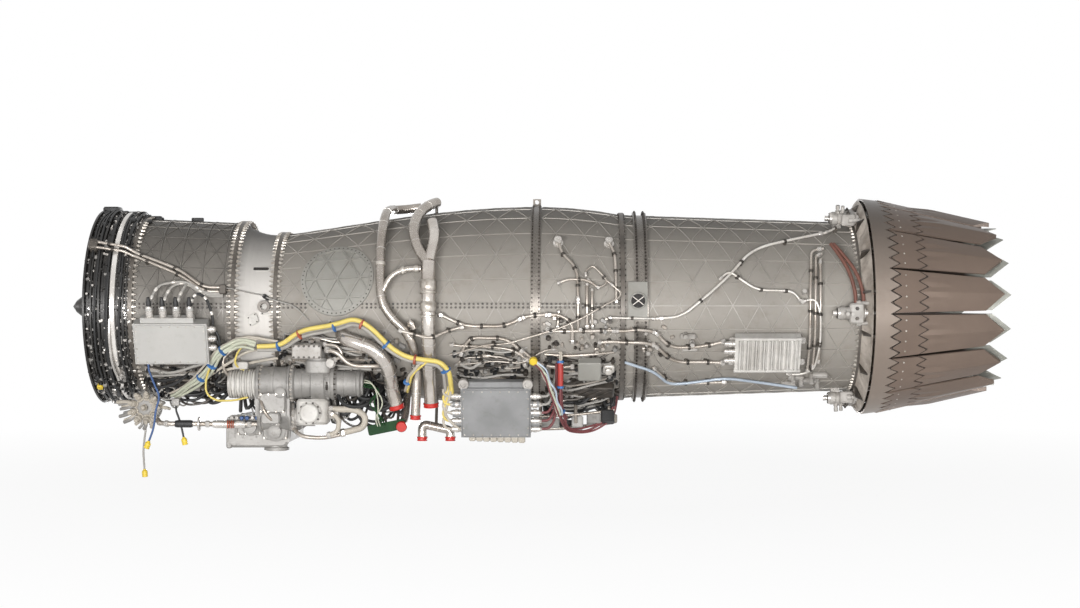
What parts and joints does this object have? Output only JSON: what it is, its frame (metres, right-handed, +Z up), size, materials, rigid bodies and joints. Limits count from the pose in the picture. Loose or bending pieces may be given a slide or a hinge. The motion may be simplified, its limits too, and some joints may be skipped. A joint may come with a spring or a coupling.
{
  "type": "jet engine",
  "caption": "Afterburning turbofan jet engine with a bladed inlet, waisted bypass ducts, belly gearbox, control boxes, bleed ducts and a saw-edged variable petal nozzle.",
  "frame": {"origin": "centre of the front face of the inlet flange, on the engine axis", "axes": "+X aft along the engine axis, -Y out of the left side that faces the viewer, +Z up"},
  "size_m": [5.594, 1.3169, 1.6646],
  "materials": {
    "dark_metal": "dark satin",
    "tan_metal": "warm grey satin",
    "grey_metal": "cast grey",
    "bright_metal": "bright",
    "hot_metal": "heat stained",
    "liner_metal": "pale coated",
    "petal_metal": "brown satin",
    "box_paint": "grey paint",
    "cap_red": "red plastic",
    "harness": "braided",
    "lead_grey": "sleeved",
    "lead_blue": "sleeved",
    "lead_black": "sleeved",
    "cap_yellow": "yellow plastic"
  },
  "bodies": {
    "engine": {"inlet_case": "dark_metal", "vane_ring": "dark_metal", "mount_ring": "dark_metal", "hinge_ring": "dark_metal", "fan_case": "tan_metal", "front_duct": "tan_metal", "rear_duct": "tan_metal", "augmentor_duct": "tan_metal", "nose_cone": "grey_metal", "fan_stators": "grey_metal", "intermediate_case": "grey_metal", "access_panel": "grey_metal", "core_case": "grey_metal", "gearbox": "grey_metal", "starter_generator": "grey_metal", "bleed_ducts": "grey_metal", "engine_mounts": "bright_metal", "clamp_band": "bright_metal", "vent_plate": "bright_metal", "nozzle_actuators": "bright_metal", "shaft_bearings": "bright_metal", "oil_pump": "bright_metal", "cooling_motor": "bright_metal", "ignition_box": "bright_metal", "fluid_tubes": "bright_metal", "aft_tubes": "bright_metal", "combustor_liner": "hot_metal", "exhaust_case": "hot_metal", "augmentor_liner": "liner_metal", "throat_flaps": "liner_metal", "nozzle_cowl": "petal_metal", "front_control_box": "box_paint", "rear_control_box": "box_paint", "duct_caps": "cap_red", "cable_harness": "harness", "lead_grey": "lead_grey", "lead_blue": "lead_blue", "lead_black": "lead_black", "lead_caps": "cap_yellow"},
    "low_spool": {"fan_rotor": "bright_metal", "low_shaft": "bright_metal", "low_turbine": "hot_metal"},
    "high_spool": {"high_compressor": "bright_metal", "high_turbine": "hot_metal"},
    "nozzle_drive": {"sync_ring": "grey_metal"},
    "petal_01": {"petal_01": "petal_metal"},
    "petal_02": {"petal_02": "petal_metal"},
    "petal_03": {"petal_03": "petal_metal"},
    "petal_04": {"petal_04": "petal_metal"},
    "petal_05": {"petal_05": "petal_metal"},
    "petal_06": {"petal_06": "petal_metal"},
    "petal_07": {"petal_07": "petal_metal"},
    "petal_08": {"petal_08": "petal_metal"},
    "petal_09": {"petal_09": "petal_metal"},
    "petal_10": {"petal_10": "petal_metal"},
    "petal_11": {"petal_11": "petal_metal"},
    "petal_12": {"petal_12": "petal_metal"},
    "petal_13": {"petal_13": "petal_metal"},
    "petal_14": {"petal_14": "petal_metal"},
    "petal_15": {"petal_15": "petal_metal"}
  },
  "joints": [
    {"name": "low_spool_spin", "type": "hinge", "parent": "engine", "child": "low_spool", "pos_m": [0, 0, 0], "axis": [1, 0, 0], "continuous": true},
    {"name": "high_spool_spin", "type": "hinge", "parent": "engine", "child": "high_spool", "pos_m": [0, 0, 0], "axis": [1, 0, 0], "continuous": true},
    {"name": "nozzle_slide", "type": "slide", "parent": "engine", "child": "nozzle_drive", "axis": [1, 0, 0], "range_m": [-0.035, 0.07]},
    {"name": "petal_01_hinge", "type": "hinge", "parent": "engine", "child": "petal_01", "pos_m": [4.704, -0.6052, 0.08721], "axis": [0, -0.1426, -0.9898], "range_deg": [-3.6, 7.1]},
    {"name": "petal_02_hinge", "type": "hinge", "parent": "engine", "child": "petal_02", "pos_m": [4.704, -0.51741, 0.32583], "axis": [0, -0.5329, -0.8462], "range_deg": [-3.6, 7.1]},
    {"name": "petal_03_hinge", "type": "hinge", "parent": "engine", "child": "petal_03", "pos_m": [4.704, -0.34015, 0.50811], "axis": [0, -0.831, -0.5563], "range_deg": [-3.6, 7.1]},
    {"name": "petal_04_hinge", "type": "hinge", "parent": "engine", "child": "petal_04", "pos_m": [4.704, -0.10408, 0.60253], "axis": [0, -0.9854, -0.1702], "range_deg": [-3.6, 7.1]},
    {"name": "petal_05_hinge", "type": "hinge", "parent": "engine", "child": "petal_05", "pos_m": [4.704, 0.14999, 0.59277], "axis": [0, -0.9694, 0.2453], "range_deg": [-3.6, 7.1]},
    {"name": "petal_06_hinge", "type": "hinge", "parent": "engine", "child": "petal_06", "pos_m": [4.704, 0.37813, 0.48052], "axis": [0, -0.7859, 0.6184], "range_deg": [-3.6, 7.1]},
    {"name": "petal_07_hinge", "type": "hinge", "parent": "engine", "child": "petal_07", "pos_m": [4.704, 0.54088, 0.28517], "axis": [0, -0.4664, 0.8846], "range_deg": [-3.6, 7.1]},
    {"name": "petal_08_hinge", "type": "hinge", "parent": "engine", "child": "petal_08", "pos_m": [4.704, 0.61011, 0.04052], "axis": [0, -0.0663, 0.9978], "range_deg": [-3.6, 7.1]},
    {"name": "petal_09_hinge", "type": "hinge", "parent": "engine", "child": "petal_09", "pos_m": [4.704, 0.57385, -0.21113], "axis": [0, 0.3453, 0.9385], "range_deg": [-3.6, 7.1]},
    {"name": "petal_10_hinge", "type": "hinge", "parent": "engine", "child": "petal_10", "pos_m": [4.704, 0.43836, -0.42629], "axis": [0, 0.6972, 0.7169], "range_deg": [-3.6, 7.1]},
    {"name": "petal_11_hinge", "type": "hinge", "parent": "engine", "child": "petal_11", "pos_m": [4.704, 0.22707, -0.56773], "axis": [0, 0.9285, 0.3714], "range_deg": [-3.6, 7.1]},
    {"name": "petal_12_hinge", "type": "hinge", "parent": "engine", "child": "petal_12", "pos_m": [4.704, -0.02347, -0.611], "axis": [0, 0.9993, -0.0384], "range_deg": [-3.6, 7.1]},
    {"name": "petal_13_hinge", "type": "hinge", "parent": "engine", "child": "petal_13", "pos_m": [4.704, -0.26996, -0.54863], "axis": [0, 0.8973, -0.4415], "range_deg": [-3.6, 7.1]},
    {"name": "petal_14_hinge", "type": "hinge", "parent": "engine", "child": "petal_14", "pos_m": [4.704, -0.46977, -0.3914], "axis": [0, 0.6401, -0.7683], "range_deg": [-3.6, 7.1]},
    {"name": "petal_15_hinge", "type": "hinge", "parent": "engine", "child": "petal_15", "pos_m": [4.704, -0.58835, -0.16649], "axis": [0, 0.2723, -0.9622], "range_deg": [-3.6, 7.1]}
  ],
  "couplings": [
    {"joint": "petal_01_hinge", "follows": "nozzle_slide", "rad_per_m": 1.7453},
    {"joint": "petal_02_hinge", "follows": "nozzle_slide", "rad_per_m": 1.7453},
    {"joint": "petal_03_hinge", "follows": "nozzle_slide", "rad_per_m": 1.7453},
    {"joint": "petal_04_hinge", "follows": "nozzle_slide", "rad_per_m": 1.7453},
    {"joint": "petal_05_hinge", "follows": "nozzle_slide", "rad_per_m": 1.7453},
    {"joint": "petal_06_hinge", "follows": "nozzle_slide", "rad_per_m": 1.7453},
    {"joint": "petal_07_hinge", "follows": "nozzle_slide", "rad_per_m": 1.7453},
    {"joint": "petal_08_hinge", "follows": "nozzle_slide", "rad_per_m": 1.7453},
    {"joint": "petal_09_hinge", "follows": "nozzle_slide", "rad_per_m": 1.7453},
    {"joint": "petal_10_hinge", "follows": "nozzle_slide", "rad_per_m": 1.7453},
    {"joint": "petal_11_hinge", "follows": "nozzle_slide", "rad_per_m": 1.7453},
    {"joint": "petal_12_hinge", "follows": "nozzle_slide", "rad_per_m": 1.7453},
    {"joint": "petal_13_hinge", "follows": "nozzle_slide", "rad_per_m": 1.7453},
    {"joint": "petal_14_hinge", "follows": "nozzle_slide", "rad_per_m": 1.7453},
    {"joint": "petal_15_hinge", "follows": "nozzle_slide", "rad_per_m": 1.7453}
  ]
}
